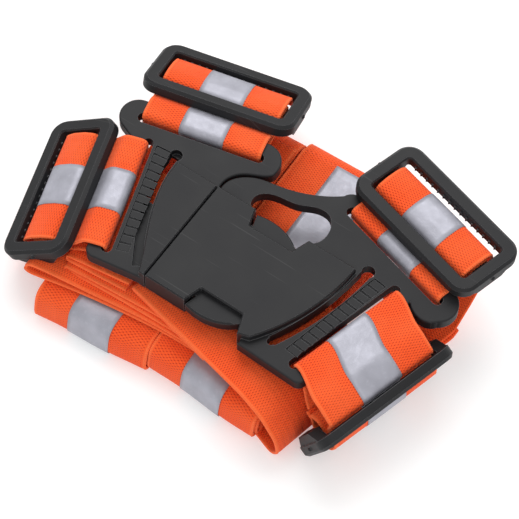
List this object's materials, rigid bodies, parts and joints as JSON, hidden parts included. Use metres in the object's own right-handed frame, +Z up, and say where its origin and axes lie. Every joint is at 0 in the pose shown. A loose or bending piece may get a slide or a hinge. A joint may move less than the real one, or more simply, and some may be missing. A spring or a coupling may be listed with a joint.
{
  "type": "luggage strap",
  "caption": "Crossed luggage strap folded for storage: two lengths of wide webbing with a reflective stripe, a side-release buckle and a slider at each webbing end.",
  "frame": {"origin": "middle of the footprint of the folded strap, on the surface it rests on", "axes": "+X from the buckle's plug half to its socket half, +Y to the back, +Z up"},
  "size_m": [0.1872, 0.1356, 0.0424],
  "materials": {
    "orange_webbing": "woven, matte",
    "silver_tape": "retroreflective, satin",
    "orange_thread": "matte",
    "black_plastic": "matte"
  },
  "bodies": {
    "bundle": {"socket_body": "black_plastic", "strap_b_left_coil": "orange_webbing", "tape_b_left_coil": "silver_tape", "strap_b_right_coil": "orange_webbing", "tape_b_right_coil": "silver_tape", "strap_a_cross_coil": "orange_webbing", "strap_a_top_run": "orange_webbing", "strap_b_side_run": "orange_webbing", "strap_b_right_loop": "orange_webbing", "tape_right_loop": "silver_tape", "strap_a_front_loop": "orange_webbing", "tape_front_loop": "silver_tape", "strap_a_left_tail": "orange_webbing", "strap_b_top_tail": "orange_webbing", "strap_b_right_tail": "orange_webbing", "strap_a_front_tail": "orange_webbing"},
    "plug": {"plug_frame": "black_plastic", "strap_a_left_loop": "orange_webbing", "tape_left_loop": "silver_tape", "strap_b_top_loop": "orange_webbing", "tape_top_loop": "silver_tape"},
    "latch_front": {"latch_arm_front": "black_plastic"},
    "latch_rear": {"latch_arm_rear": "black_plastic"},
    "slider_left": {"slider_left": "black_plastic", "strap_a_left_pass": "orange_webbing", "strap_a_left_sewn_end": "orange_webbing", "tape_left_pass": "silver_tape", "bar_tack_left": "orange_thread"},
    "slider_top": {"slider_top": "black_plastic", "strap_b_top_pass": "orange_webbing", "strap_b_top_sewn_end": "orange_webbing", "tape_top_pass": "silver_tape", "bar_tack_top": "orange_thread"},
    "slider_right": {"slider_right": "black_plastic", "strap_b_right_pass": "orange_webbing", "strap_b_right_sewn_end": "orange_webbing", "tape_right_pass": "silver_tape", "bar_tack_right": "orange_thread"},
    "slider_front": {"slider_front": "black_plastic", "strap_a_front_pass": "orange_webbing", "strap_a_front_sewn_end": "orange_webbing", "tape_front_pass": "silver_tape", "bar_tack_front": "orange_thread"}
  },
  "joints": [
    {"name": "plug_withdraw", "type": "slide", "parent": "bundle", "child": "plug", "axis": [-1, 0, 0], "range_m": [0, 0.044], "deforming": ["latch_arm_front", "latch_arm_rear", "strap_a_left_tail", "strap_b_top_tail"]},
    {"name": "press_front", "type": "hinge", "parent": "plug", "child": "latch_front", "pos_m": [-0.02002, -0.03905, 0.0335], "axis": [0, 0, 1], "range_deg": [0, 7.5], "stiffness_Nm_per_rad": 1.2},
    {"name": "press_rear", "type": "hinge", "parent": "plug", "child": "latch_rear", "pos_m": [-0.02002, -0.01005, 0.0335], "axis": [0, 0, -1], "range_deg": [0, 7.5], "stiffness_Nm_per_rad": 1.2},
    {"name": "slider_left_shift", "type": "slide", "parent": "plug", "child": "slider_left", "axis": [-0.7634, -0.2392, -0.6], "range_m": [0, 0.012], "deforming": ["strap_a_left_loop", "tape_left_loop", "strap_a_left_tail"]},
    {"name": "slider_top_shift", "type": "slide", "parent": "plug", "child": "slider_top", "axis": [-0.1978, 0.8804, -0.4311], "range_m": [0, 0.012], "deforming": ["strap_b_top_loop", "tape_top_loop", "strap_b_top_tail"]},
    {"name": "slider_right_shift", "type": "slide", "parent": "bundle", "child": "slider_right", "axis": [0.2709, 0.9626, 0], "range_m": [0, 0.012], "deforming": ["strap_b_right_loop", "tape_right_loop", "strap_b_right_tail"]},
    {"name": "slider_front_shift", "type": "slide", "parent": "bundle", "child": "slider_front", "axis": [0.9607, -0.2777, 0], "range_m": [0, 0.012], "deforming": ["strap_a_front_loop", "tape_front_loop", "strap_a_front_tail"]}
  ]
}
